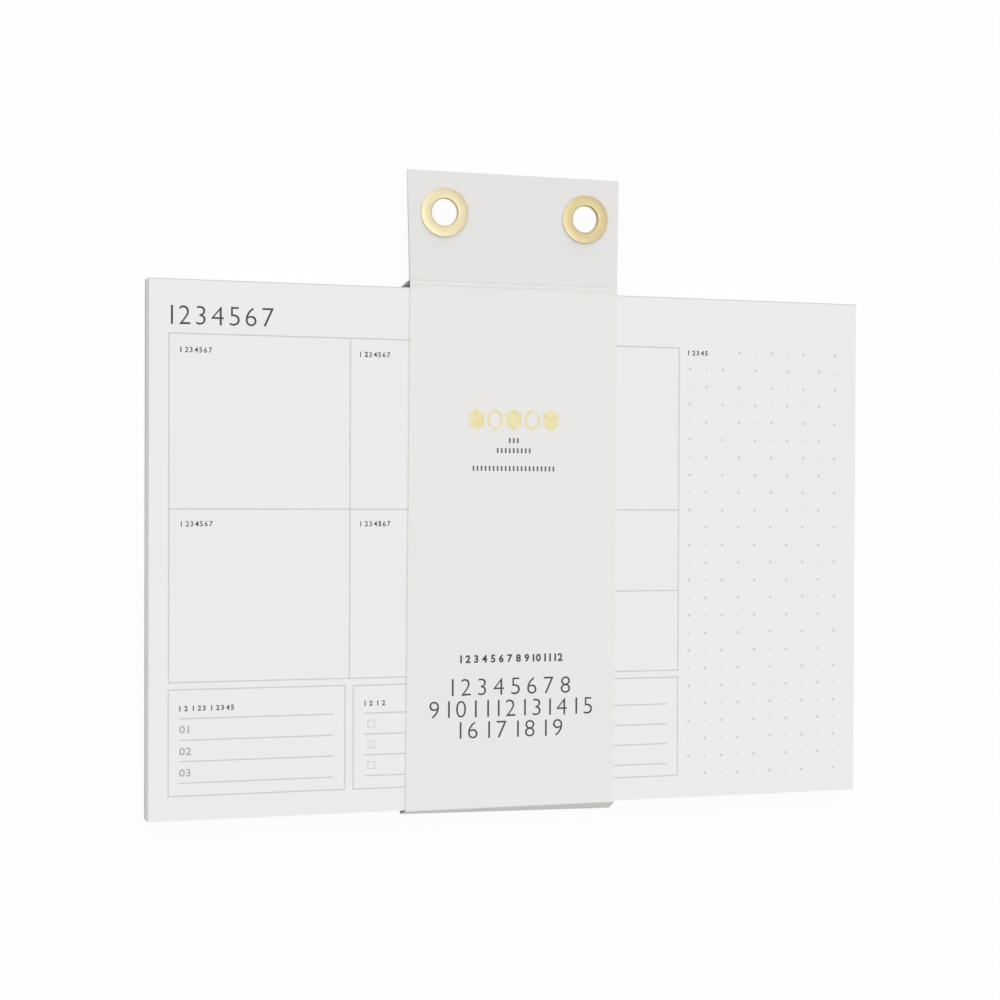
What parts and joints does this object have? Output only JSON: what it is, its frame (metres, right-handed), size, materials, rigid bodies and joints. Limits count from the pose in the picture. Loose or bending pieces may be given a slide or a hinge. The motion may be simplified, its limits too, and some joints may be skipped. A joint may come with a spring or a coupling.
{
  "type": "weekly desk planner",
  "caption": "Landscape pad of tear-off planner sheets on a stiff board, held in a folded card band whose upright header carries a pair of metal eyelets.",
  "frame": {"origin": "on the underside of the band's back panel, below the middle of the pad", "axes": "+X to the pad's right, +Y up the page towards the header, +Z out of the printed face"},
  "size_m": [0.2516, 0.2178, 0.011],
  "materials": {
    "paper": "matt uncoated",
    "board": "matt greyboard",
    "gum": "dried padding gum, slight sheen",
    "card": "smooth satin card",
    "brass": "polished pale gold"
  },
  "bodies": {
    "root": {"page_block": "paper", "backing_board": "board", "binding_gum": "gum", "card_band": "card", "eyelet_left": "brass", "eyelet_right": "brass", "washer_left": "brass", "washer_right": "brass"}
  },
  "joints": []
}
